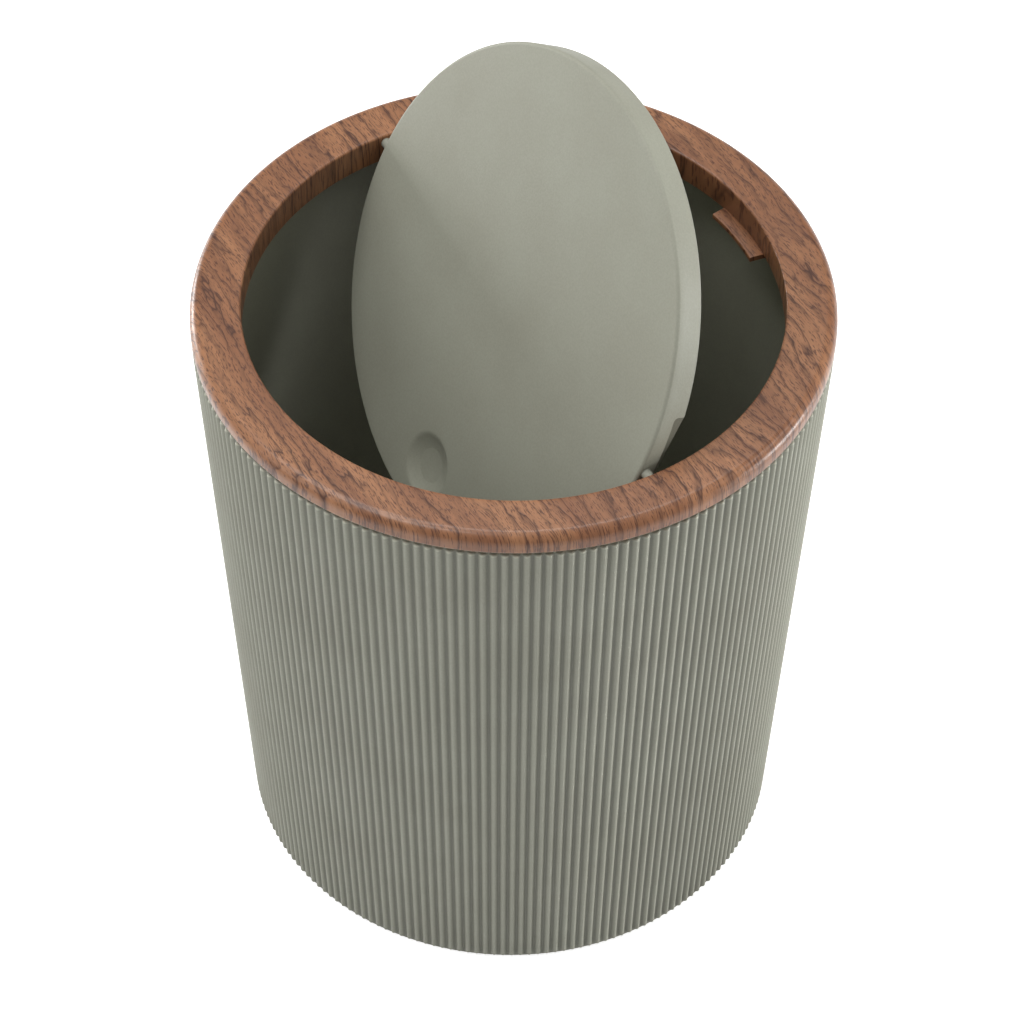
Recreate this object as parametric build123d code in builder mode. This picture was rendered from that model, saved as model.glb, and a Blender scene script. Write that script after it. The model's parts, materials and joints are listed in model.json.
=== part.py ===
"""Swing-lid trash can: fluted bucket, wood-look rim ring, and a disc lid that turns on two pins.

Millimetres, +Z up. The origin is on the floor at the middle of the base. The hinge runs along X,
the stop ledge is at the rear (+Y) and the thumb recess at the front (-Y) of the lid.
The lid is drawn open, as it stands in use: its rear half is up and its front half is in the bin.
"""
from build123d import *
from math import cos, radians, sin
import os

# Bin as a whole
BIN_HEIGHT = 238.2
RING_DIAMETER = 215.0
OPENING_DIAMETER = 180.8
BASE_DIAMETER = 188.6

# Rim ring
BAND_HEIGHT = 7.3
INNER_WALL_HEIGHT = 11.1
BAND_WALL = 1.6
INNER_WALL = 1.8
RING_ROOF = 2.0
RING_TOP_ROUND = 4.0
RING_EDGE_CHAMFER = 0.6
WEB_COUNT = 24
WEB_THICKNESS = 1.6
WEB_REACH = 7.0
WEB_ROOT = 0.3

# Bucket
RIB_COUNT = 188
RIB_DEPTH = 1.0
RIB_SHARE = 0.68
SHOULDER_TURN = 0.6
SHOULDER_DROP = 0.22
RIB_PROUD_OF_BAND = -0.1
SHADOW_GAP = 0.4
BUCKET_WALL = 2.4
LIP_HEIGHT = 4.2
LIP_WALL = 1.6
LIP_ROOT = 4.0
LIP_CLEARANCE = 0.3
WEB_CLEARANCE = 0.4
FLOOR_THICKNESS = 2.4
FLOOR_ROUND = 5.0
FOOT_HEIGHT = 1.4
FOOT_WIDTH = 5.0
FOOT_INSET = 0.4
FOOT_ROUND = 0.5

# Lid
LID_GAP = 3.4
LID_DEPTH = 10.4
LID_DRAFT = 0.6
LID_PLATE = 2.2
LID_SKIRT = 2.0
LID_EDGE_ROUND = 0.9
LID_OPEN_ANGLE = 63.8
NOTCH_HALF_ANGLE = 13.6
NOTCH_HEIGHT = 4.2
NOTCH_RECESS = 3.4
NOTCH_WALL = 1.8
LID_RIB = 1.6
LID_RIB_DEPTH = 4.0
HINGE_RIB_SPACING = 18.0
CROSS_RIB_SPACING = 60.0
RIB_ROOT = 0.3

# Thumb recess in the lid
RECESS_DIAMETER = 22.4
RECESS_DEPTH = 2.6
RECESS_OFFSET = 69.3
RECESS_PAD_MARGIN = 1.6

# Pivots
PIN_DIAMETER = 3.6
PIN_BELOW_FACE = 3.1
PIN_CHAMFER = 0.4
PIN_RUNNING_CLEARANCE = 0.05
PIN_IN_LID = 14.0
PIN_IN_RING = 7.2
PIN_END_GAP = 0.4
BOSS_RADIUS = 2.9
BOSS_END_GAP = 0.5
BOSS_LENGTH_BEHIND_PIN = 2.0
SOCKET_RADIUS = 3.4
SOCKET_END_WALL = 1.2

# Stop ledge
LEDGE_OVERLAP = 1.0
LEDGE_THICKNESS = 2.0
LEDGE_HALF_ANGLE = 8.2
LEDGE_SEAT_GAP = 0.2

# Places worked out from the sizes above
ring_radius = RING_DIAMETER / 2
opening_radius = OPENING_DIAMETER / 2
band_bottom = BIN_HEIGHT - BAND_HEIGHT
roof_underside = BIN_HEIGHT - RING_ROOF
channel_outer = ring_radius - BAND_WALL
channel_inner = opening_radius + INNER_WALL

rib_top = band_bottom - SHADOW_GAP
lip_top = rib_top + LIP_HEIGHT
lip_outer = channel_outer - LIP_CLEARANCE
lip_inner = lip_outer - LIP_WALL
crest_top = ring_radius + RIB_PROUD_OF_BAND
crest_base = BASE_DIAMETER / 2
foot_radius = crest_base - RIB_DEPTH - FOOT_INSET
floor_top = FOOT_HEIGHT + FLOOR_THICKNESS
cavity_top_radius = min(lip_inner, crest_top - RIB_DEPTH - BUCKET_WALL)
cavity_base_radius = crest_base - RIB_DEPTH - BUCKET_WALL

pivot_height = BIN_HEIGHT - PIN_BELOW_FACE
pin_radius = PIN_DIAMETER / 2
lid_radius = opening_radius - LID_GAP
lid_face = PIN_BELOW_FACE
lid_bottom = lid_face - LID_DEPTH
plate_underside = lid_face - LID_PLATE
lid_bottom_radius = lid_radius - LID_DRAFT
skirt_inner = lid_radius - LID_SKIRT
notch_top = lid_bottom + NOTCH_HEIGHT
notch_face = lid_radius - NOTCH_RECESS
notch_half_width = lid_radius * sin(radians(NOTCH_HALF_ANGLE))
boss_outer_end = opening_radius - BOSS_END_GAP
pin_inner_end = boss_outer_end - PIN_IN_LID
boss_inner_end = pin_inner_end - BOSS_LENGTH_BEHIND_PIN
pin_outer_end = opening_radius + PIN_IN_RING
socket_depth_end = pin_outer_end + PIN_END_GAP
recess_sphere = ((RECESS_DIAMETER / 2) ** 2 + RECESS_DEPTH ** 2) / (2 * RECESS_DEPTH)

ledge_top = pivot_height + lid_bottom - LEDGE_SEAT_GAP
ledge_bottom = ledge_top - LEDGE_THICKNESS
ledge_inner = lid_bottom_radius - LEDGE_OVERLAP

# Lid planes: one flat through the hinge, one cut across it, both tilted to the open lid
lid_plane = Plane((0, 0, pivot_height)).rotated((LID_OPEN_ANGLE, 0, 0))
lid_section = Plane((0, 0, pivot_height), x_dir=(1, 0, 0), z_dir=(0, -1, 0)).rotated((LID_OPEN_ANGLE, 0, 0))
lid_axis = Axis((0, 0, pivot_height), lid_plane.z_dir)


def radial_plane(azimuth):
    """Upright plane through the bin's axis: local x points outwards, local y is up."""
    out = Vector(cos(radians(azimuth)), sin(radians(azimuth)), 0)
    return Plane((0, 0, 0), x_dir=out, z_dir=out.cross(Vector(0, 0, 1)))


def pivot_plane(side, distance):
    """Plane square to the hinge on one side, at a distance from the bin's axis, facing outwards."""
    return Plane((side * distance, 0, pivot_height), x_dir=(0, 1, 0), z_dir=(side, 0, 0))


def polar(radius, azimuth):
    return (radius * cos(radians(azimuth)), radius * sin(radians(azimuth)))


def fluted_outline(crest_radius):
    """Closed line of ribs with narrow hollows between them. Each rib is rounded by four flats."""
    pitch = 360 / RIB_COUNT
    half = RIB_SHARE / 2
    corners = []
    for rib in range(RIB_COUNT):
        for turn, depth in ((-half, 1), (-half * SHOULDER_TURN, SHOULDER_DROP), (0, 0),
                            (half * SHOULDER_TURN, SHOULDER_DROP), (half, 1)):
            corners.append(polar(crest_radius - depth * RIB_DEPTH, (rib + turn) * pitch))
    Polyline(*corners, close=True)


os.makedirs("parts", exist_ok=True)

# Bucket: fluted tapered wall, plain foot and a plain lip that the ring drops over
with BuildPart() as bucket:
    with BuildSketch(Plane.XZ) as core_section:
        with BuildLine():
            Polyline((0, 0), (foot_radius, 0), (foot_radius, floor_top), (0, floor_top), close=True)
        make_face()
        fillet(core_section.vertices().sort_by_distance((foot_radius, 0))[0], FOOT_ROUND)
        with BuildLine():
            Polyline(
                (0, rib_top - LIP_ROOT), (lip_outer, rib_top - LIP_ROOT), (lip_outer, lip_top), (0, lip_top),
                close=True,
            )
        make_face()
    revolve(axis=Axis.Z)
    with BuildSketch(Plane.XY.offset(FOOT_HEIGHT)):
        with BuildLine():
            fluted_outline(crest_base)
        make_face()
    with BuildSketch(Plane.XY.offset(rib_top)):
        with BuildLine():
            fluted_outline(crest_top)
        make_face()
    loft(ruled=True)
    with BuildSketch(Plane.XZ) as hollow_section:
        with BuildLine():
            Polyline(
                (0, floor_top), (cavity_base_radius, floor_top), (cavity_top_radius, rib_top),
                (cavity_top_radius, lip_top), (0, lip_top), close=True,
            )
        make_face()
        fillet(hollow_section.vertices().sort_by_distance((cavity_base_radius, floor_top))[0], FLOOR_ROUND)
        with BuildLine():
            Polyline(
                (0, 0), (foot_radius - FOOT_WIDTH, 0), (foot_radius - FOOT_WIDTH, FOOT_HEIGHT),
                (0, FOOT_HEIGHT), close=True,
            )
        make_face()
    revolve(axis=Axis.Z, mode=Mode.SUBTRACT)

# Rim ring: an upturned channel with webs inside, two pin sockets and the stop ledge
with BuildPart() as rim_ring:
    with BuildSketch(Plane.XZ) as ring_section:
        with BuildLine():
            Polyline(
                (opening_radius, BIN_HEIGHT), (ring_radius, BIN_HEIGHT), (ring_radius, band_bottom),
                (channel_outer, band_bottom), (channel_outer, roof_underside),
                (channel_inner, roof_underside), (channel_inner, BIN_HEIGHT - INNER_WALL_HEIGHT),
                (opening_radius, BIN_HEIGHT - INNER_WALL_HEIGHT), close=True,
            )
        make_face()
        top_corners = ring_section.vertices().group_by(Axis.Y)[-1].sort_by(Axis.X)
        fillet(top_corners[-1], RING_TOP_ROUND)
        chamfer(top_corners[0], RING_EDGE_CHAMFER)
        chamfer(ring_section.vertices().sort_by_distance((ring_radius, band_bottom))[0], RING_EDGE_CHAMFER)
        roof_corner = ring_section.vertices().sort_by_distance((channel_outer, roof_underside))[0]
        chamfer(roof_corner, (RING_TOP_ROUND - BAND_WALL) / 2)
    revolve(axis=Axis.Z)
    for web in range(WEB_COUNT):
        with BuildSketch(radial_plane((web + 0.5) * 360 / WEB_COUNT)):
            with BuildLine():
                Polyline(
                    (channel_inner - WEB_ROOT, roof_underside + WEB_ROOT),
                    (channel_inner - WEB_ROOT, roof_underside - WEB_REACH),
                    (lip_inner - WEB_CLEARANCE, roof_underside - WEB_REACH),
                    (lip_inner - WEB_CLEARANCE, lip_top),
                    (channel_outer + WEB_ROOT, lip_top),
                    (channel_outer + WEB_ROOT, lip_top + WEB_ROOT),
                    (channel_outer - RING_TOP_ROUND / 2, roof_underside + WEB_ROOT),
                    close=True,
                )
            make_face()
        extrude(amount=WEB_THICKNESS / 2, both=True)
    for side in (-1, 1):
        with BuildSketch(pivot_plane(side, channel_inner - WEB_ROOT)):
            with BuildLine():
                upper = (roof_underside + WEB_ROOT - pivot_height) * side
                ThreePointArc((-SOCKET_RADIUS, 0), (0, -SOCKET_RADIUS * side), (SOCKET_RADIUS, 0))
                Polyline((SOCKET_RADIUS, 0), (SOCKET_RADIUS, upper), (-SOCKET_RADIUS, upper), (-SOCKET_RADIUS, 0))
            make_face()
        extrude(amount=socket_depth_end + SOCKET_END_WALL - channel_inner + WEB_ROOT)
        with BuildSketch(pivot_plane(side, opening_radius - BOSS_END_GAP)):
            Circle(pin_radius + PIN_RUNNING_CLEARANCE)
        extrude(amount=socket_depth_end - opening_radius + BOSS_END_GAP, mode=Mode.SUBTRACT)
    with BuildSketch(radial_plane(90 - LEDGE_HALF_ANGLE)):
        with BuildLine():
            Polyline(
                (ledge_inner, ledge_bottom), (channel_inner, ledge_bottom),
                (channel_inner, ledge_top), (ledge_inner, ledge_top), close=True,
            )
        make_face()
    revolve(axis=Axis.Z, revolution_arc=2 * LEDGE_HALF_ANGLE)

# Swing lid: flat plate with a skirt, notched at both pivots
with BuildPart() as swing_lid:
    with BuildSketch(lid_section) as lid_profile:
        with BuildLine():
            Polyline(
                (0, lid_face), (lid_radius, lid_face), (lid_bottom_radius, lid_bottom),
                (lid_bottom_radius - LID_SKIRT, lid_bottom), (skirt_inner, plate_underside),
                (0, plate_underside), close=True,
            )
        make_face()
        fillet(lid_profile.vertices().sort_by_distance((lid_radius, lid_face))[0], LID_EDGE_ROUND)
    revolve(axis=lid_axis)
    with BuildSketch(lid_plane.offset(plate_underside - LID_RIB_DEPTH)):
        with GridLocations(0, HINGE_RIB_SPACING, 1, 2):
            Rectangle(2 * lid_radius, LID_RIB)
        with GridLocations(CROSS_RIB_SPACING, 0, 2, 1):
            Rectangle(LID_RIB, 2 * lid_radius)
        Circle(skirt_inner + RIB_ROOT, mode=Mode.INTERSECT)
    extrude(amount=LID_RIB_DEPTH + RIB_ROOT)
    for side in (-1, 1):
        with BuildSketch(lid_plane.offset(lid_bottom)):
            Circle(skirt_inner + RIB_ROOT)
            with Locations((side * (notch_face - NOTCH_WALL), 0)):
                Rectangle(
                    lid_radius, 2 * lid_radius, mode=Mode.INTERSECT,
                    align=(Align.MIN if side > 0 else Align.MAX, Align.CENTER),
                )
        extrude(amount=plate_underside - lid_bottom + RIB_ROOT)
        with BuildSketch(lid_plane.offset(notch_top)):
            with Locations((side * notch_face, 0)):
                Rectangle(
                    lid_radius, 2 * notch_half_width,
                    align=(Align.MIN if side > 0 else Align.MAX, Align.CENTER),
                )
        extrude(amount=-2 * NOTCH_HEIGHT, mode=Mode.SUBTRACT)
        with BuildSketch(pivot_plane(side, boss_inner_end)):
            Circle(BOSS_RADIUS)
        extrude(amount=boss_outer_end - boss_inner_end)
        with BuildSketch(pivot_plane(side, boss_inner_end)):
            Circle(pin_radius)
        extrude(amount=boss_outer_end - boss_inner_end, mode=Mode.SUBTRACT)
    with BuildSketch(lid_plane.offset(plate_underside - RECESS_DEPTH)):
        with Locations((0, -RECESS_OFFSET)):
            Circle(RECESS_DIAMETER / 2 + RECESS_PAD_MARGIN)
    extrude(amount=RECESS_DEPTH + RIB_ROOT)
    recess_centre = lid_plane.from_local_coords((0, -RECESS_OFFSET, lid_face + recess_sphere - RECESS_DEPTH))
    with Locations(recess_centre):
        Sphere(recess_sphere, mode=Mode.SUBTRACT)


def pivot_pin(side):
    """Plain pin, held by the lid's boss and turning in the ring's socket."""
    with BuildPart() as pin:
        with BuildSketch(pivot_plane(side, pin_inner_end)):
            Circle(pin_radius)
        extrude(amount=pin_outer_end - pin_inner_end)
        chamfer(pin.edges().filter_by(GeomType.CIRCLE), PIN_CHAMFER)
    return pin


pivot_pin_left = pivot_pin(-1)
pivot_pin_right = pivot_pin(1)

bucket.part.label = "bucket"
export_step(bucket.part, "parts/bucket.step")
rim_ring.part.label = "rim_ring"
export_step(rim_ring.part, "parts/rim_ring.step")
swing_lid.part.label = "swing_lid"
export_step(swing_lid.part, "parts/swing_lid.step")
pivot_pin_left.part.label = "pivot_pin_left"
export_step(pivot_pin_left.part, "parts/pivot_pin_left.step")
pivot_pin_right.part.label = "pivot_pin_right"
export_step(pivot_pin_right.part, "parts/pivot_pin_right.step")
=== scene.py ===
"""Dresses the swing-lid trash can: fluted bucket, walnut-look rim ring, disc lid and its two pins.

The pieces' named sizes and outlines are in millimetres. Meshes, textures and the stage are in
metres, apart from the lens and the sensor width, which are in millimetres.
"""
import bmesh
import bpy
import json
from math import atan2, cos, pi, radians, sin, sqrt
from mathutils import Matrix, Vector


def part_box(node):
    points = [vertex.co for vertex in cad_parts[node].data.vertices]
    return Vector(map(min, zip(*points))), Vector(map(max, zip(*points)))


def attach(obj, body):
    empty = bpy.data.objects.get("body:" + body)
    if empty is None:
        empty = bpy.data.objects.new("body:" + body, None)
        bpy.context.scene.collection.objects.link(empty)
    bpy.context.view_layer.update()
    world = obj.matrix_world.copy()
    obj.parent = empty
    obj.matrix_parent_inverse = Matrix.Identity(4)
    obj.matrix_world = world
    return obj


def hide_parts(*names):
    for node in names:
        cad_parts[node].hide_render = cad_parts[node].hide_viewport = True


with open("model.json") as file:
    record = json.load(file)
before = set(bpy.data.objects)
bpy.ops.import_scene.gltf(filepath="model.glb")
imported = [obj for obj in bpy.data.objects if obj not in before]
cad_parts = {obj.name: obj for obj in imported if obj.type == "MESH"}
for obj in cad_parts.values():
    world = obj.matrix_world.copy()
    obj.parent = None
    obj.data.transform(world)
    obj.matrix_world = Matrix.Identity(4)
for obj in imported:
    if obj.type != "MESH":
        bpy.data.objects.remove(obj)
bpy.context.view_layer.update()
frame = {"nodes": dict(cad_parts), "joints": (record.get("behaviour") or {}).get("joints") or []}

MM = 0.001

# Overall sizes and the hinge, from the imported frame
ring_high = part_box("rim_ring")[1]
bucket_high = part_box("bucket")[1]
HINGE = next(joint for joint in frame["joints"] if joint["name"] == "lid_swing")
PIVOT_HEIGHT = HINGE["pos_m"][2] / MM
OPEN_ANGLE = radians(-HINGE["range_deg"][0])

BIN_HEIGHT = ring_high.z / MM
RING_RADIUS = ring_high.x / MM
OPENING_RADIUS = 90.4
BAND_HEIGHT = 7.3
INNER_WALL_HEIGHT = 11.1
BAND_WALL = 1.6
INNER_WALL = 1.8
RING_ROOF = 2.0
RING_TOP_ROUND = 4.0
RING_EDGE_ROUND = 0.9
INSIDE_ROUND_END = 70
BAND_FOOT_ROUND = 1.2
WEB_COUNT = 24
WEB_THICKNESS = 1.6
WEB_REACH = 7.0
WEB_CLEARANCE = 0.4
WEB_SEAT_START = 103.4
WEB_SEAT_HEIGHT = 0.8
INNER_WALL_FOOT_ROUND = 0.4
SOCKET_RADIUS = 2.4
SOCKET_LENGTH = 7.0
SOCKET_DROP = 0.4
LEDGE_HALF_ANGLE = 8.2
LEDGE_INNER = 85.4
LEDGE_THICKNESS = 2.0
LEDGE_TOP = 227.6
LEDGE_EDGE_ROUND = 0.35

LIP_TOP = bucket_high.z / MM
RIB_TOP = 230.5
CREST_TOP = bucket_high.x / MM
CREST_BASE = 94.3
RIB_COUNT = 188
RIB_DEPTH = 1.15
RIB_SHARE = 0.63
RIB_END_ROUND = 0.85
RIB_TOP_DROP = 0.9
RIB_COLUMNS = 12
LIP_OUTER = 105.6
LIP_EDGE = 0.3
CAVITY_TOP = 104.0
CAVITY_BASE = 90.9
FLOOR_TOP = 3.8
FLOOR_ROUND = 5.0
FLOOR_ROUND_SHIFT = 0.2
FOOT_HEIGHT = 1.4
FOOT_RADIUS = 92.9
FOOT_WIDTH = 5.0
FOOT_ROUND = 0.5

LID_RADIUS = 87.0
LID_FACE = 3.1
LID_DEPTH = 10.4
LID_DRAFT = 0.6
LID_PLATE = 2.2
LID_SKIRT = 2.0
LID_EDGE_ROUND = 1.2
LID_FOOT_ROUND = 0.4
LID_ROUND_END = 3
NOTCH_HALF_ANGLE = 13.6
NOTCH_HEIGHT = 4.2
NOTCH_FACE = 83.6
NOTCH_WALL = 1.8
NOTCH_CORNER_ROUND = 1.6
LID_RIB = 1.6
LID_RIB_DEPTH = 4.0
HINGE_RIB_OFFSET = 9.0
CROSS_RIB_OFFSET = 30.0
BOSS_RADIUS = 2.9
BOSS_START = 73.9
BOSS_END = 86.5
RECESS_RADIUS = 11.2
RECESS_DEPTH = 2.6
RECESS_OFFSET = 69.3
RECESS_PAD_RADIUS = 12.8
RECESS_PATCH_RADIUS = 15.0
RECESS_EDGE_ROUND = 0.9

# Mesh steps and small helps for joining pieces
ROUND_COLUMNS = 720
RECESS_COLUMNS = 96
RECESS_RINGS = 12
RECESS_EDGE_RINGS = 8
LEDGE_STEPS = 24
SEGMENT_STEPS = 24
BOSS_SIDES = 64
SMALL_OVERLAP = 0.3
SMALL_STEP = 0.01
RIB_END_CLEARANCE = 1.5
CROSS_RIB_END_CLEARANCE = 0.2
CUTTER_REACH = 5.0
CUTTER_DEPTH = 3.0
NEAR_AXIS = 1e-6
SAME_PLACE = 1e-7
SHARP_ANGLE = 32.0
BUCKET_SHARP_ANGLE = 50.0


# Outline helpers, in millimetres

def arc(centre, radius, start, end, steps):
    """Points on a circle from one angle to another, in degrees."""
    angles = [radians(start + (end - start) * i / steps) for i in range(steps + 1)]
    return [(centre[0] + radius * cos(a), centre[1] + radius * sin(a)) for a in angles]


def spaced(start, end, steps):
    """Points strictly between two points of an outline."""
    return [(start[0] + (end[0] - start[0]) * i / steps, start[1] + (end[1] - start[1]) * i / steps)
            for i in range(1, steps)]


# Mesh helpers

def mark_edges(mesh_data, sharp_angle):
    """Shades every face smooth and keeps edges sharp that turn by more than an angle in degrees."""
    limit = radians(sharp_angle)
    for face in mesh_data.faces:
        face.smooth = True
    for edge in mesh_data.edges:
        edge.smooth = len(edge.link_faces) == 2 and edge.calc_face_angle(0) < limit


def finished(name, mesh_data, sharp_angle=SHARP_ANGLE):
    """Object from a mesh under construction."""
    bmesh.ops.recalc_face_normals(mesh_data, faces=mesh_data.faces)
    mark_edges(mesh_data, sharp_angle)
    mesh = bpy.data.meshes.new(name)
    mesh_data.to_mesh(mesh)
    mesh_data.free()
    piece = bpy.data.objects.new(name, mesh)
    bpy.context.scene.collection.objects.link(piece)
    return piece


def revolved(outline, columns, closed, shift=None):
    """Mesh turned about the Z axis. An open outline starts and ends on the axis and gets a point there.

    shift(row, turn) gives how far a point lies inside the outline's radius, in millimetres."""
    made = bmesh.new()
    rows = []
    for index, (radius, height) in enumerate(outline):
        if radius < NEAR_AXIS:
            rows.append([made.verts.new((0, 0, height * MM))])
            continue
        row = []
        for column in range(columns):
            turn = column / columns
            inset = shift(index, turn) if shift else 0
            angle = 2 * pi * turn
            reach = (radius - inset) * MM
            row.append(made.verts.new((reach * cos(angle), reach * sin(angle), height * MM)))
        rows.append(row)
    pairs = list(zip(rows, rows[1:]))
    if closed:
        pairs.append((rows[-1], rows[0]))
    for low, high in pairs:
        for column in range(columns):
            following = (column + 1) % columns
            if len(low) == 1:
                made.faces.new((low[0], high[column], high[following]))
            elif len(high) == 1:
                made.faces.new((low[column], high[0], low[following]))
            else:
                made.faces.new((low[column], low[following], high[following], high[column]))
    return made


def block(made, low, high, placed=Matrix.Identity(4)):
    """Adds a box between two corners, in millimetres."""
    size = Vector(high) - Vector(low)
    middle = (Vector(high) + Vector(low)) / 2
    matrix = placed @ Matrix.Translation(middle * MM) @ Matrix.Diagonal((*(size * MM), 1))
    bmesh.ops.create_cube(made, size=1, matrix=matrix)


def rod(made, radius, start, end, height, segments=48):
    """Adds a round bar along X between two distances, at a height, all in millimetres."""
    middle = Matrix.Translation(Vector(((start + end) / 2 * MM, 0, height * MM)))
    bmesh.ops.create_cone(
        made, cap_ends=True, segments=segments, radius1=radius * MM, radius2=radius * MM,
        depth=abs(end - start) * MM, matrix=middle @ Matrix.Rotation(pi / 2, 4, "Y"),
    )


def combined(piece, tool, operation):
    """Cuts or joins one piece with a second one, which is then removed."""
    change = piece.modifiers.new("change", "BOOLEAN")
    change.operation = operation
    change.solver = "EXACT"
    change.object = tool
    bpy.context.view_layer.update()
    result = bpy.data.meshes.new_from_object(piece.evaluated_get(bpy.context.evaluated_depsgraph_get()))
    piece.modifiers.remove(change)
    piece.data = result
    bpy.data.objects.remove(tool)
    return piece


def merged(piece):
    """Joins points that a cut left in one place and marks the edges again."""
    made = bmesh.new()
    made.from_mesh(piece.data)
    bmesh.ops.remove_doubles(made, verts=made.verts, dist=SAME_PLACE)
    mark_edges(made, SHARP_ANGLE)
    made.to_mesh(piece.data)
    made.free()
    return piece


# Bucket

def rib_drop(turn):
    """Depth below the crest, as a share of the rib depth: a round rib and a narrow round hollow."""
    along = abs((turn * RIB_COUNT + 0.5) % 1 - 0.5)
    half = RIB_SHARE / 2
    if along < half:
        return RIB_SHARE * (1 - cos(pi / 2 * along / half))
    return 1 - (1 - RIB_SHARE) * (1 - cos(pi / 2 * (0.5 - along) / (0.5 - half)))


def bucket_outline():
    """Points from the middle of the underside, up the outside, over the lip and down to the floor."""
    plain = [(0, FOOT_HEIGHT), (FOOT_RADIUS - FOOT_WIDTH, FOOT_HEIGHT), (FOOT_RADIUS - FOOT_WIDTH, 0)]
    plain += arc((FOOT_RADIUS - FOOT_ROUND, FOOT_ROUND), FOOT_ROUND, -90, 0, 4)
    plain += [(FOOT_RADIUS, FOOT_HEIGHT)]
    rib_top = RIB_TOP - RIB_TOP_DROP
    low_end = arc((CREST_BASE - RIB_END_ROUND, FOOT_HEIGHT + RIB_END_ROUND), RIB_END_ROUND, -90, 0, 5)
    high_end = arc((CREST_TOP - RIB_END_ROUND, rib_top - RIB_END_ROUND), RIB_END_ROUND, 0, 90, 5)
    fluted = low_end + spaced(low_end[-1], high_end[0], 8) + high_end
    lip_side = LIP_TOP - LIP_EDGE
    upper = [(LIP_OUTER, rib_top), (LIP_OUTER, lip_side), (LIP_OUTER - LIP_EDGE, LIP_TOP)]
    upper += [(CAVITY_TOP + LIP_EDGE, LIP_TOP), (CAVITY_TOP, lip_side), (CAVITY_TOP, RIB_TOP)]
    corner = arc(
        (CAVITY_BASE - FLOOR_ROUND + FLOOR_ROUND_SHIFT, FLOOR_TOP + FLOOR_ROUND), FLOOR_ROUND, 0, -90, 8,
    )
    inside = spaced((CAVITY_TOP, RIB_TOP), corner[0], 6) + corner + [(0, FLOOR_TOP)]
    return plain, fluted, upper + inside


def make_bucket():
    plain, fluted, rest = bucket_outline()
    first, last = len(plain), len(plain) + len(fluted)

    def shift(row, turn):
        return RIB_DEPTH * rib_drop(turn) if first <= row < last else 0

    shape = revolved(plain + fluted + rest, RIB_COUNT * RIB_COLUMNS, closed=False, shift=shift)
    return finished("bucket_shell", shape, sharp_angle=BUCKET_SHARP_ANGLE)


# Rim ring

def ring_outline():
    """Points around the ring's upturned channel, from the inner top edge outwards and back."""
    inner, outer = OPENING_RADIUS, RING_RADIUS
    top, band, wall = BIN_HEIGHT, BIN_HEIGHT - BAND_HEIGHT, BIN_HEIGHT - INNER_WALL_HEIGHT
    roof = BIN_HEIGHT - RING_ROOF
    points = arc((inner + RING_EDGE_ROUND, top - RING_EDGE_ROUND), RING_EDGE_ROUND, 180, 90, 8)
    corner = arc((outer - RING_TOP_ROUND, top - RING_TOP_ROUND), RING_TOP_ROUND, 90, 0, 20)
    points += spaced(points[-1], corner[0], 8) + corner
    points += arc((outer - BAND_FOOT_ROUND, band + BAND_FOOT_ROUND), BAND_FOOT_ROUND, 0, -90, 6)
    points += [(outer - BAND_WALL, band)]
    inside_round = RING_TOP_ROUND - BAND_WALL
    points += arc((outer - RING_TOP_ROUND, top - RING_TOP_ROUND), inside_round, 0, INSIDE_ROUND_END, 6)
    points += [(inner + INNER_WALL, roof), (inner + INNER_WALL, wall)]
    foot = INNER_WALL_FOOT_ROUND
    points += arc((inner + foot, wall + foot), foot, -90, -180, 4)
    return points


def make_ring():
    return finished("ring_cover", revolved(ring_outline(), ROUND_COLUMNS, closed=True))


def make_ring_inside():
    """Webs that seat the ring on the bucket's lip, and the two pin sockets."""
    made = bmesh.new()
    roof = BIN_HEIGHT - RING_ROOF
    half = WEB_THICKNESS / 2
    inner = OPENING_RADIUS + INNER_WALL - SMALL_OVERLAP
    outer = RING_RADIUS - BAND_WALL
    for web in range(WEB_COUNT):
        turned = Matrix.Rotation(2 * pi * (web + 0.5) / WEB_COUNT, 4, "Z")
        inner_corner = (CAVITY_TOP - WEB_CLEARANCE, half, roof + SMALL_OVERLAP)
        seat_corner = (outer, half, LIP_TOP + WEB_SEAT_HEIGHT)
        block(made, (inner, -half, roof - WEB_REACH), inner_corner, turned)
        block(made, (WEB_SEAT_START, -half, LIP_TOP), seat_corner, turned)
    for side in (-1, 1):
        start = side * inner
        rod(made, SOCKET_RADIUS, start, start + side * SOCKET_LENGTH, PIVOT_HEIGHT - SOCKET_DROP)
    return finished("ring_webs", made)


def make_ledge():
    """Stop ledge: a short curved shelf inside the ring, at the rear."""
    made = bmesh.new()
    outer = OPENING_RADIUS + INNER_WALL - SMALL_OVERLAP
    low, high = LEDGE_TOP - LEDGE_THICKNESS, LEDGE_TOP
    soft = LEDGE_EDGE_ROUND
    section = [(outer, low), (LEDGE_INNER + soft, low)]
    section += arc((LEDGE_INNER + soft, low + soft), soft, -90, -180, 3)[1:]
    section += arc((LEDGE_INNER + soft, high - soft), soft, 180, 90, 3)
    section += [(outer, high)]
    rows = []
    for i in range(LEDGE_STEPS + 1):
        angle = radians(90 - LEDGE_HALF_ANGLE + 2 * LEDGE_HALF_ANGLE * i / LEDGE_STEPS)
        across, along = MM * cos(angle), MM * sin(angle)
        rows.append([made.verts.new((r * across, r * along, z * MM)) for r, z in section])
    for low_row, high_row in zip(rows, rows[1:]):
        for i in range(len(section)):
            j = (i + 1) % len(section)
            made.faces.new((low_row[i], low_row[j], high_row[j], high_row[i]))
    made.faces.new(rows[0])
    made.faces.new(rows[-1])
    return finished("stop_ledge", made)


# Lid, made flat with its hinge along X at the origin, then swung open

LID_PLACE = Matrix.Translation((0, 0, PIVOT_HEIGHT * MM)) @ Matrix.Rotation(OPEN_ANGLE, 4, "X")


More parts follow.
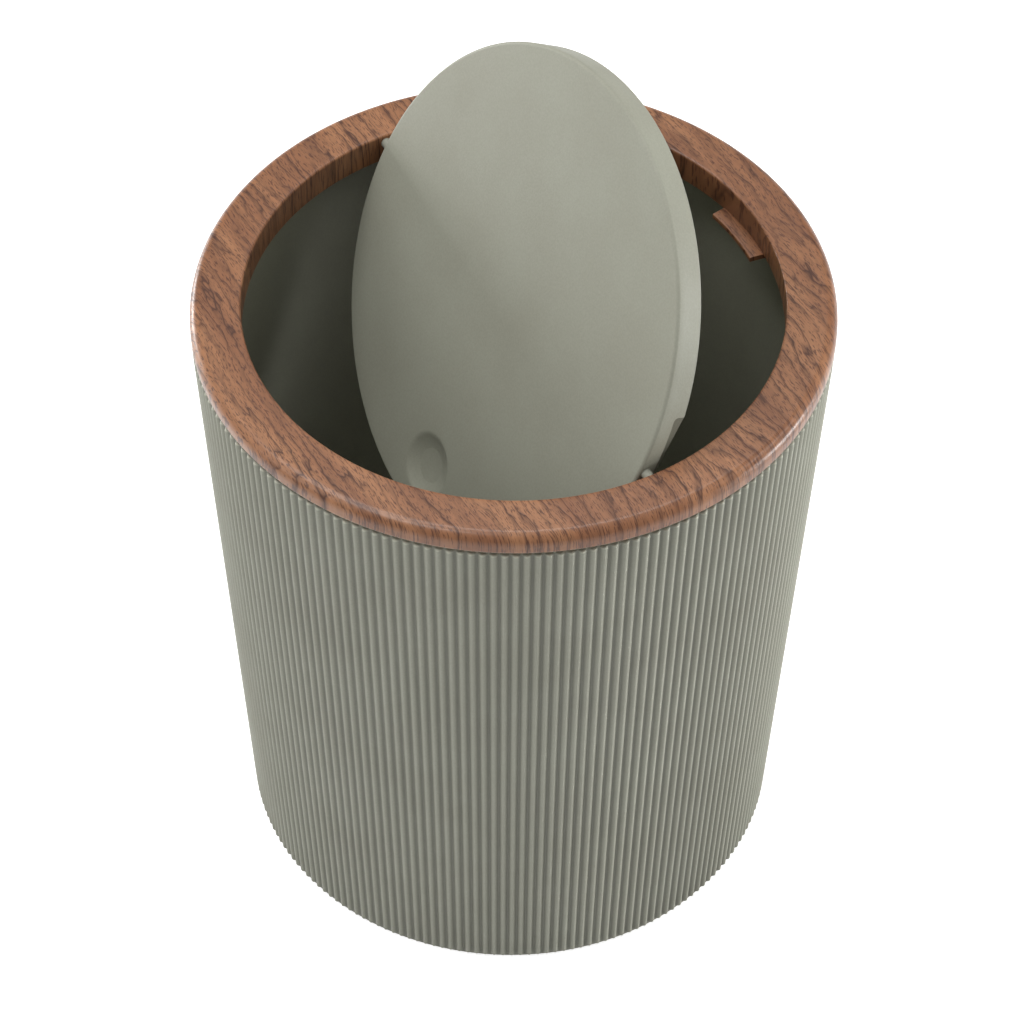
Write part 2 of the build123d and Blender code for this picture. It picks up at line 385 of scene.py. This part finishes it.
def recess_outline():
    """Heights of the thumb recess from its middle out to the flat face."""
    ball = (RECESS_RADIUS ** 2 + RECESS_DEPTH ** 2) / (2 * RECESS_DEPTH)
    inner = RECESS_RADIUS - RECESS_EDGE_ROUND
    centre_height = ball - RECESS_DEPTH
    reaches = [inner * i / RECESS_RINGS for i in range(RECESS_RINGS + 1)]
    points = [(reach, centre_height - sqrt(ball ** 2 - reach ** 2)) for reach in reaches]
    start, end = points[-1], (RECESS_RADIUS + RECESS_EDGE_ROUND, 0)
    for i in range(1, RECESS_EDGE_RINGS + 1):
        t = i / RECESS_EDGE_RINGS
        along = (1 - t) ** 2 * start[0] + 2 * t * (1 - t) * RECESS_RADIUS + t ** 2 * end[0]
        points.append((along, (1 - t) ** 2 * start[1]))
    points.append((RECESS_PATCH_RADIUS, 0))
    return points


def make_lid_shell():
    """Disc and skirt as one turned outline, its face filled in around the thumb recess."""
    bottom = LID_FACE - LID_DEPTH
    under = LID_FACE - LID_PLATE
    low_radius = LID_RADIUS - LID_DRAFT
    edge_centre = (LID_RADIUS - LID_EDGE_ROUND, LID_FACE - LID_EDGE_ROUND)
    foot_centre = (low_radius - LID_FOOT_ROUND, bottom + LID_FOOT_ROUND)
    outline = arc(edge_centre, LID_EDGE_ROUND, 90, LID_ROUND_END, 8)
    foot = arc(foot_centre, LID_FOOT_ROUND, LID_ROUND_END, -90, 5)
    outline += spaced(outline[-1], foot[0], 4) + foot
    outline += [(low_radius - LID_SKIRT, bottom), (LID_RADIUS - LID_SKIRT, under), (0, under)]
    made = revolved(outline, ROUND_COLUMNS, closed=False)
    made.verts.ensure_lookup_table()
    rim = [edge for edge in made.edges if edge.is_boundary]
    columns = RECESS_COLUMNS
    rings = []
    for radius, height in recess_outline():
        if radius < NEAR_AXIS:
            rings.append([made.verts.new((0, -RECESS_OFFSET * MM, (LID_FACE + height) * MM))])
            continue
        rings.append([made.verts.new((
            radius * MM * cos(2 * pi * i / columns),
            (radius * sin(2 * pi * i / columns) - RECESS_OFFSET) * MM,
            (LID_FACE + height) * MM,
        )) for i in range(columns)])
    for low, high in zip(rings, rings[1:]):
        for i in range(columns):
            j = (i + 1) % columns
            if len(low) == 1:
                made.faces.new((low[0], high[i], high[j]))
            else:
                made.faces.new((low[i], high[i], high[j], low[j]))
    inner_edges = [made.edges.get((rings[-1][i], rings[-1][(i + 1) % columns])) for i in range(columns)]
    bmesh.ops.triangle_fill(made, use_beauty=True, use_dissolve=False, edges=rim + inner_edges)
    return finished("lid_shell", made)


LID_UNDER = LID_FACE - LID_PLATE + SMALL_OVERLAP
LID_BOTTOM = LID_FACE - LID_DEPTH
SKIRT_INNER = LID_RADIUS - LID_SKIRT + SMALL_OVERLAP


def make_segment(side):
    """Solid between the skirt and a chord, which closes the lid behind one notch."""
    made = bmesh.new()
    start = NOTCH_FACE - NOTCH_WALL
    edge_angle = atan2(sqrt(SKIRT_INNER ** 2 - start ** 2), start)
    shrink = 1 - LID_DRAFT / LID_RADIUS
    low_ring, high_ring = [], []
    for i in range(SEGMENT_STEPS + 1):
        angle = -edge_angle + 2 * edge_angle * i / SEGMENT_STEPS
        x, y = side * SKIRT_INNER * cos(angle) * MM, SKIRT_INNER * sin(angle) * MM
        low_ring.append(made.verts.new((x * shrink, y * shrink, (LID_BOTTOM + 2 * SMALL_STEP) * MM)))
        high_ring.append(made.verts.new((x, y, LID_UNDER * MM)))
    for i in range(SEGMENT_STEPS):
        made.faces.new((low_ring[i], low_ring[i + 1], high_ring[i + 1], high_ring[i]))
    made.faces.new((low_ring[-1], low_ring[0], high_ring[0], high_ring[-1]))
    made.faces.new(low_ring)
    made.faces.new(high_ring)
    return finished("segment", made)


def make_boss(side):
    made = bmesh.new()
    rod(made, BOSS_RADIUS, side * BOSS_START, side * BOSS_END, 0, segments=BOSS_SIDES)
    return finished("boss", made)


def make_hinge_ribs():
    """Two ribs along X, one on each side of the pivots."""
    made = bmesh.new()
    for offset in (-HINGE_RIB_OFFSET, HINGE_RIB_OFFSET):
        reach = sqrt(SKIRT_INNER ** 2 - offset ** 2) - RIB_END_CLEARANCE
        low = (-reach, offset - LID_RIB / 2, LID_UNDER - LID_RIB_DEPTH)
        block(made, low, (reach, offset + LID_RIB / 2, LID_UNDER))
    return finished("hinge_ribs", made)


def make_cross_ribs():
    """Two ribs across the hinge ribs, a hair higher so that no faces coincide."""
    made = bmesh.new()
    reach = sqrt(SKIRT_INNER ** 2 - (CROSS_RIB_OFFSET + LID_RIB / 2) ** 2) - CROSS_RIB_END_CLEARANCE
    for offset in (-CROSS_RIB_OFFSET, CROSS_RIB_OFFSET):
        low = (offset - LID_RIB / 2, -reach, LID_UNDER - LID_RIB_DEPTH + SMALL_STEP)
        block(made, low, (offset + LID_RIB / 2, reach, LID_UNDER + SMALL_STEP))
    return finished("cross_ribs", made)


def make_recess_pad():
    """Round pad under the plate that carries the thumb recess."""
    made = bmesh.new()
    depth = RECESS_DEPTH + SMALL_OVERLAP
    middle = LID_UNDER - depth / 2
    bmesh.ops.create_cone(
        made, cap_ends=True, segments=BOSS_SIDES, radius1=RECESS_PAD_RADIUS * MM,
        radius2=RECESS_PAD_RADIUS * MM, depth=depth * MM,
        matrix=Matrix.Translation((0, -RECESS_OFFSET * MM, middle * MM)),
    )
    return finished("recess_pad", made)


def make_notch_cutter(side):
    """Block that takes the lower part of the skirt away at one pivot, with rounded upper corners."""
    half = LID_RADIUS * sin(radians(NOTCH_HALF_ANGLE))
    top = LID_BOTTOM + NOTCH_HEIGHT
    low = LID_BOTTOM - CUTTER_DEPTH
    turn = NOTCH_CORNER_ROUND
    outline = [(-half, low), (half, low)] + arc((half - turn, top - turn), turn, 0, 90, 6)
    outline += arc((-half + turn, top - turn), turn, 90, 180, 6)
    made = bmesh.new()
    near, far = side * NOTCH_FACE, side * (LID_RADIUS + CUTTER_REACH)
    rings = [[made.verts.new((x * MM, y * MM, z * MM)) for y, z in outline] for x in (near, far)]
    for i in range(len(outline)):
        j = (i + 1) % len(outline)
        made.faces.new((rings[0][i], rings[0][j], rings[1][j], rings[1][i]))
    made.faces.new(rings[0])
    made.faces.new(rings[1])
    return finished("notch_cutter", made)


def make_lid():
    lid = make_lid_shell()
    for part in (make_segment(-1), make_segment(1), make_hinge_ribs(), make_cross_ribs(), make_recess_pad()):
        combined(lid, part, "UNION")
    for side in (-1, 1):
        combined(lid, make_notch_cutter(side), "DIFFERENCE")
    for side in (-1, 1):
        combined(lid, make_boss(side), "UNION")
    merged(lid)
    lid.data.transform(LID_PLACE)
    return lid


# Materials

def linear(red, green, blue):
    """Screen colour of 0 to 255 as the renderer's linear colour."""
    def one(value):
        value = value / 255
        return value / 12.92 if value <= 0.04045 else ((value + 0.055) / 1.055) ** 2.4
    return (one(red), one(green), one(blue), 1)


BLACK = (0, 0, 0, 1)
DARK_GRAIN = linear(70, 40, 27)
DARK_PORE = linear(82, 48, 34)

# Noise scales per metre, height and strengths of the relief, and gloss
CLOUD_SCALE = 28.0
SPECKLE_SCALE = 1400.0
GLOSS_SCALE = 60.0
BUMP_HEIGHT = 0.0002
PLASTIC_RELIEF = 0.12
WOOD_RELIEF = 0.25
SPECULAR = 0.35
WOOD_COAT = 0.16
WOOD_COAT_ROUGHNESS = 0.18

# Painted light and shade on the ribs: depth in millimetres over which the painted shade in the hollows
# deepens, and gain of the painted highlight at the rib tops
HOLLOW_SHADE_SPAN = 1.6
RIB_TOP_PAINTED_LIGHT = 0.5

# Walnut lines: sideways wave in metres, lines per metre and how many lines they drift
GRAIN_WAVE = 0.012
GROWTH_LINES_PER_METRE = 210.0
GROWTH_DRIFT = 7.0


class Shader:
    """A node material under construction."""

    def __init__(self, name):
        self.material = bpy.data.materials.new(name)
        self.material.use_nodes = True
        self.nodes = self.material.node_tree.nodes
        self.links = self.material.node_tree.links
        self.surface = self.nodes["Principled BSDF"]
        self.place = self.nodes.new("ShaderNodeTexCoord").outputs["Object"]

    def node(self, kind, **settings):
        made = self.nodes.new(kind)
        for name, value in settings.items():
            setattr(made, name, value)
        return made

    def stretched(self, scale, source=None):
        """Texture place with its own repeats per metre along X, Y and Z."""
        made = self.node("ShaderNodeMapping")
        made.inputs["Scale"].default_value = scale
        self.links.new(source or self.place, made.inputs["Vector"])
        return made.outputs["Vector"]

    def put(self, socket, value):
        """Feeds a socket from another node's output, or sets it to a plain value."""
        if hasattr(value, "is_linked"):
            self.links.new(value, socket)
        else:
            socket.default_value = value

    def separated(self, vector):
        made = self.node("ShaderNodeSeparateXYZ")
        self.links.new(vector, made.inputs[0])
        return made.outputs

    def noise(self, vector, scale=1.0, detail=4.0, roughness=0.55):
        made = self.node("ShaderNodeTexNoise")
        made.inputs["Scale"].default_value = scale
        made.inputs["Detail"].default_value = detail
        made.inputs["Roughness"].default_value = roughness
        self.links.new(vector, made.inputs["Vector"])
        return made.outputs["Fac"]

    def ramp(self, value, stops):
        made = self.node("ShaderNodeValToRGB")
        elements = made.color_ramp.elements
        while len(elements) < len(stops):
            elements.new(0.5)
        for element, (position, colour) in zip(elements, stops):
            element.position = position
            element.color = colour if hasattr(colour, "__len__") else (colour, colour, colour, 1)
        self.links.new(value, made.inputs["Fac"])
        return made.outputs["Color"]

    def mixed(self, factor, first, second, blend="MIX"):
        made = self.node("ShaderNodeMix", data_type="RGBA", blend_type=blend)
        for socket, value in zip((made.inputs["Factor"], *made.inputs[6:8]), (factor, first, second)):
            self.put(socket, value)
        return made.outputs[2]

    def maths(self, operation, first, second=0.0):
        made = self.node("ShaderNodeMath", operation=operation)
        for socket, value in zip(made.inputs, (first, second)):
            self.put(socket, value)
        return made.outputs[0]

    def darkened(self, colour, value, stops):
        """Colour times a tone that a ramp gives, from black at 0 to unchanged at 1."""
        return self.mixed(self.ramp(value, stops), BLACK, colour)

    def bump(self, height, strength):
        made = self.node("ShaderNodeBump")
        made.inputs["Strength"].default_value = strength
        made.inputs["Distance"].default_value = BUMP_HEIGHT
        self.links.new(height, made.inputs["Height"])
        return made.outputs["Normal"]

    def finish(self, colour, roughness, normal, coat=0.0, coat_roughness=0.3):
        self.links.new(colour, self.surface.inputs["Base Color"])
        self.links.new(roughness, self.surface.inputs["Roughness"])
        self.links.new(normal, self.surface.inputs["Normal"])
        self.surface.inputs["Specular IOR Level"].default_value = SPECULAR
        self.surface.inputs["Coat Weight"].default_value = coat
        self.surface.inputs["Coat Roughness"].default_value = coat_roughness
        return self.material


def plastic(name, light, dark, grain=1.0, ribbed=False):
    """Matte moulded plastic: faint cloudy tone, fine moulded texture and slightly uneven gloss. Ribbed
    pieces also get painted shade in the rib hollows and a painted highlight on the rib tops.
    """
    shader = Shader(name)
    cloud = shader.noise(shader.place, scale=CLOUD_SCALE, detail=3.0)
    colour = shader.mixed(shader.ramp(cloud, ((0.3, 0.0), (0.7, 1.0))), dark, light)
    speckle = shader.noise(shader.place, scale=SPECKLE_SCALE, detail=2.0)
    colour = shader.darkened(colour, speckle, ((0.35, 0.93), (0.65, 1.0)))
    if ribbed:
        # Painted shade: the hollows between the ribs are darkened by their depth.
        colour = shader.mixed(1.0, colour, painted_hollow_shade(shader), blend="MULTIPLY")
        # Painted highlight: the rounded rib tops are made paler.
        colour = shader.mixed(1.0, colour, painted_rib_top_light(shader), blend="MULTIPLY")
    gloss = shader.noise(shader.place, scale=GLOSS_SCALE, detail=3.0)
    roughness = shader.ramp(gloss, ((0.3, 0.50), (0.7, 0.60)))
    return shader.finish(colour, roughness, shader.bump(speckle, PLASTIC_RELIEF * grain))


def painted_hollow_shade(shader):
    """Painted shade in the hollows between the ribs: a tone that darkens with the depth under the crests."""
    x, y, z = shader.separated(shader.place)
    square = shader.maths("ADD", shader.maths("MULTIPLY", x, x), shader.maths("MULTIPLY", y, y))
    radius = shader.maths("SQRT", square)
    slope = (CREST_TOP - CREST_BASE) / (RIB_TOP - FOOT_HEIGHT)
    base = (CREST_BASE - slope * FOOT_HEIGHT) * MM
    crest = shader.maths("ADD", shader.maths("MULTIPLY", z, slope), base)
    depth = shader.maths("DIVIDE", shader.maths("SUBTRACT", crest, radius), HOLLOW_SHADE_SPAN * MM)
    return shader.ramp(depth, ((0.0, 1.0), (0.25, 0.93), (0.62, 0.58), (0.80, 0.58), (0.95, 1.0)))


def painted_rib_top_light(shader):
    """Painted highlight: a paler tone on the rounded rib tops, for the thin light line under the ring."""
    height = shader.separated(shader.place)[2]
    start = (RIB_TOP - RIB_TOP_DROP - RIB_END_ROUND) * MM
    rise = shader.maths("DIVIDE", shader.maths("SUBTRACT", height, start), RIB_END_ROUND * MM)
    pale = shader.ramp(rise, ((0.0, 0.0), (0.5, 1.0)))
    return shader.maths("ADD", 1.0, shader.maths("MULTIPLY", pale, RIB_TOP_PAINTED_LIGHT))


def walnut():
    """Walnut look: grain along X over the whole ring, wavy dark lines, short pores and a satin coat."""
    shader = Shader("walnut_look")
    flat = shader.stretched((1.0, 1.0, 0.15))
    wave = shader.noise(shader.stretched((14.0, 34.0, 14.0), flat), detail=2.0)
    sideways = shader.maths("MULTIPLY", shader.maths("SUBTRACT", wave, 0.5), GRAIN_WAVE)
    push = shader.node("ShaderNodeCombineXYZ")
    shader.links.new(sideways, push.inputs["Y"])
    wavy = shader.node("ShaderNodeVectorMath", operation="ADD")
    shader.links.new(flat, wavy.inputs[0])
    shader.links.new(push.outputs[0], wavy.inputs[1])
    grain = wavy.outputs[0]

    # Broad tone, then dark growth lines, pores and flecks
    broad = shader.noise(shader.stretched((9.0, 60.0, 50.0), grain), detail=3.0)
    colour = shader.ramp(broad, (
        (0.30, linear(129, 84, 57)), (0.46, linear(142, 96, 66)), (0.58, linear(160, 112, 78)),
        (0.72, linear(143, 97, 67)),
    ))
    across = shader.maths("MULTIPLY", shader.separated(grain)[1], GROWTH_LINES_PER_METRE)
    drift = shader.noise(shader.stretched((13.0, 55.0, 30.0), grain), detail=4.0, roughness=0.6)
    growth = shader.maths("ADD", across, shader.maths("MULTIPLY", drift, GROWTH_DRIFT))
    dark_line = shader.ramp(shader.maths("FRACT", growth), (
        (0.0, 1.0), (0.06, 0.3), (0.15, 0.0), (0.70, 0.0), (0.92, 0.5), (1.0, 1.0),
    ))
    patches = shader.noise(shader.stretched((24.0, 60.0, 30.0), grain), detail=2.0)
    dark_line = shader.maths("MULTIPLY", dark_line, shader.ramp(patches, ((0.34, 0.4), (0.54, 1.0))))
    colour = shader.mixed(dark_line, colour, DARK_GRAIN)
    pores = shader.noise(shader.stretched((380.0, 2400.0, 900.0), grain), detail=2.0)
    pore = shader.ramp(pores, ((0.54, 0.0), (0.62, 0.8)))
    colour = shader.mixed(pore, colour, DARK_PORE)
    fleck = shader.noise(shader.stretched((80.0, 900.0, 300.0), grain), detail=3.0)
    colour = shader.darkened(colour, fleck, ((0.35, 0.80), (0.65, 1.0)))

    roughness = shader.ramp(dark_line, ((0.0, 0.36), (1.0, 0.5)))
    height = shader.maths("SUBTRACT", 1.0, shader.maths("MAXIMUM", dark_line, pore))
    normal = shader.bump(height, WOOD_RELIEF)
    return shader.finish(colour, roughness, normal, coat=WOOD_COAT, coat_roughness=WOOD_COAT_ROUGHNESS)


def give(piece, material, body, slot, *replaced):
    """Dresses a piece, ties it to its body and hides any node that it replaces. The slot is not used."""
    piece.data.materials.clear()
    piece.data.materials.append(material)
    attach(piece, body)
    if replaced:
        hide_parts(*replaced)
    return piece


def paint_notch_shade(lid, material):
    """Gives the upright faces of the two notches painted shade: a darker copy of the lid plastic."""
    lid.data.materials.append(material)
    flat = LID_PLACE.inverted()
    for face in lid.data.polygons:
        if abs(abs((flat @ face.center).x) - NOTCH_FACE * MM) < SMALL_STEP * MM:
            face.material_index = 1


sage_bucket = plastic("sage_bucket_plastic", linear(158, 159, 145), linear(152, 152, 138), ribbed=True)
sage_lid = plastic("sage_lid_plastic", linear(150, 151, 137), linear(145, 145, 131), grain=1.3)
sage_pin = plastic("sage_pin_plastic", linear(142, 142, 129), linear(136, 136, 123), grain=0.5)
# Painted shade: a darker copy of the lid plastic for the notch faces.
painted_notch_shade = plastic("sage_painted_notch_shade", linear(122, 122, 109), linear(116, 116, 103))
wood = walnut()

give(make_bucket(), sage_bucket, "bin", "bucket_plastic", "bucket")
give(make_ring(), wood, "ring", "ring_wood_look", "rim_ring")
give(make_ring_inside(), wood, "ring", "ring_wood_look")
give(make_ledge(), wood, "ring", "ring_wood_look")
lid = give(make_lid(), sage_lid, "lid", "lid_plastic", "swing_lid")
paint_notch_shade(lid, painted_notch_shade)
for side_name in ("left", "right"):
    pin = frame["nodes"][f"pivot_pin_{side_name}"]
    pin.data.materials.clear()
    pin.data.materials.append(sage_pin)


# Stage: white floor that keeps the shadow, soft lamps and the camera

FLOOR_SIZE = 12.0
FLOOR_DROP = 0.0001
FLOOR_TONE = 0.82
FLOOR_ROUGHNESS = 0.6
FLOOR_GLOW = 0.75
WORLD_STRENGTH = 0.41


def make_floor():
    """White floor: it glows for the camera and in reflections, and keeps the object's shadow."""
    made = bmesh.new()
    bmesh.ops.create_grid(made, x_segments=1, y_segments=1, size=FLOOR_SIZE / 2)
    floor = finished("floor", made)
    shader = Shader("pale_floor")
    shader.surface.inputs["Base Color"].default_value = (FLOOR_TONE, FLOOR_TONE, FLOOR_TONE, 1)
    shader.surface.inputs["Roughness"].default_value = FLOOR_ROUGHNESS
    rays = shader.node("ShaderNodeLightPath")
    seen = shader.maths("MAXIMUM", rays.outputs["Is Camera Ray"], rays.outputs["Is Glossy Ray"])
    glow = shader.node("ShaderNodeEmission")
    shader.links.new(shader.maths("MULTIPLY", seen, FLOOR_GLOW), glow.inputs["Strength"])
    both = shader.node("ShaderNodeAddShader")
    shader.links.new(shader.surface.outputs[0], both.inputs[0])
    shader.links.new(glow.outputs[0], both.inputs[1])
    shader.links.new(both.outputs[0], shader.nodes["Material Output"].inputs["Surface"])
    floor.data.materials.append(shader.material)
    floor.location.z = -FLOOR_DROP


def make_world(strength):
    """Even white surroundings, at full strength where the camera sees them and weaker as light."""
    world = bpy.data.worlds.new("studio")
    bpy.context.scene.world = world
    world.use_nodes = True
    nodes, links = world.node_tree.nodes, world.node_tree.links
    back = nodes["Background"]
    back.inputs["Color"].default_value = (1, 1, 1, 1)
    rays = nodes.new("ShaderNodeLightPath")
    choice = nodes.new("ShaderNodeMix")
    choice.data_type = "FLOAT"
    choice.inputs[2].default_value = strength
    choice.inputs[3].default_value = 1.0
    links.new(rays.outputs["Is Camera Ray"], choice.inputs[0])
    links.new(choice.outputs[0], back.inputs["Strength"])


def softbox(name, place, size, power):
    """Rectangular lamp aimed at the middle of the can."""
    lamp = bpy.data.lights.new(name, "AREA")
    lamp.shape = "RECTANGLE"
    lamp.size, lamp.size_y = size
    lamp.energy = power
    holder = bpy.data.objects.new(name, lamp)
    bpy.context.scene.collection.objects.link(holder)
    holder.location = place
    holder.rotation_euler = (LAMP_TARGET - place).to_track_quat("-Z", "Y").to_euler()


CAMERA_PLACE = Vector((0.9020, -0.5103, 1.2693))
CAMERA_HEADING = radians(150.5)
CAMERA_PITCH = radians(47.63)
CAMERA_ROLL = radians(0.5)
CAMERA_LENS = 154.93
SENSOR_WIDTH = 36.0
FARTHEST_SEEN = 50.0


def make_camera():
    """Camera with the photo's place, lens and slight roll."""
    forward = Vector((
        cos(CAMERA_HEADING) * cos(CAMERA_PITCH), sin(CAMERA_HEADING) * cos(CAMERA_PITCH), -sin(CAMERA_PITCH),
    ))
    level = forward.cross(Vector((0, 0, 1))).normalized()
    upright = level.cross(forward)
    right = cos(CAMERA_ROLL) * level + sin(CAMERA_ROLL) * upright
    up = -sin(CAMERA_ROLL) * level + cos(CAMERA_ROLL) * upright
    turned = Matrix((right, up, -forward)).transposed().to_4x4()
    lens = bpy.data.cameras.new("camera")
    lens.lens = CAMERA_LENS
    lens.sensor_width = SENSOR_WIDTH
    lens.clip_end = FARTHEST_SEEN
    camera = bpy.data.objects.new("camera", lens)
    bpy.context.scene.collection.objects.link(camera)
    camera.matrix_world = Matrix.Translation(CAMERA_PLACE) @ turned
    bpy.context.scene.camera = camera


def seen_from(side, ahead, height):
    """A place given as metres to the right of the picture, away from the viewer, and up."""
    right = Vector((sin(CAMERA_HEADING), -cos(CAMERA_HEADING), 0))
    away = Vector((cos(CAMERA_HEADING), sin(CAMERA_HEADING), 0))
    return right * side + away * ahead + Vector((0, 0, height))


LAMP_TARGET = Vector((0, 0, 0.15))

# Each lamp: place as seen_from takes it, size in metres, power in watts
LAMPS = {
    "top_light": ((-0.35, 0.55, 1.9), (1.8, 0.5), 17),
    "front_top_light": ((-0.6, -0.3, 1.9), (0.7, 0.7), 10),
    "left_light": ((-1.5, -0.5, 1.1), (0.8, 0.9), 4.5),
    "right_light": ((1.2, 0.2, 1.3), (0.5, 0.5), 4),
    "left_low_light": ((-1.25, 1.0, 0.2), (0.5, 0.35), 10),
    "right_low_light": ((1.6, 0.0, 0.2), (0.5, 0.35), 15),
}

make_camera()
make_floor()
make_world(WORLD_STRENGTH)
for lamp_name, (lamp_place, lamp_size, lamp_power) in LAMPS.items():
    softbox(lamp_name, seen_from(*lamp_place), lamp_size, lamp_power)

bpy.context.scene.view_settings.view_transform = "Standard"
